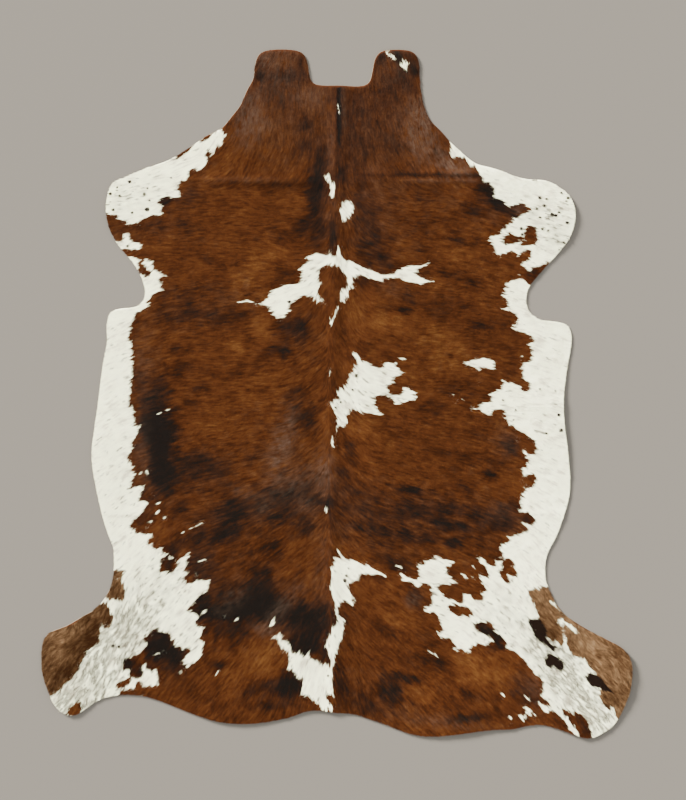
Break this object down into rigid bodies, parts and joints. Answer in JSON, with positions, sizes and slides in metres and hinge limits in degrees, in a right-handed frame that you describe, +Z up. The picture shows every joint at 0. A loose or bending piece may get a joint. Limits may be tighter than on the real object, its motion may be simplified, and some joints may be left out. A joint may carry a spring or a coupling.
{
  "type": "cowhide rug",
  "caption": "Hair-on hide rug lying flat, trimmed to the outline of neck, forelegs, flanks and hind legs, with low fold creases and a slightly lifted rim.",
  "frame": {"origin": "middle of the hide's outline, on the surface that it lies on", "axes": "+Z up out of the hair side, +Y along the spine towards the neck, +X to the right as seen from above with the neck at the top"},
  "size_m": [1.8416, 2.15, 0.0137],
  "materials": {
    "hide": "short combed hair on tanned skin, brown and black brindle with white belly, legs and star patches; pale suede flesh side"
  },
  "bodies": {
    "root": {"hide": "hide"}
  },
  "joints": []
}
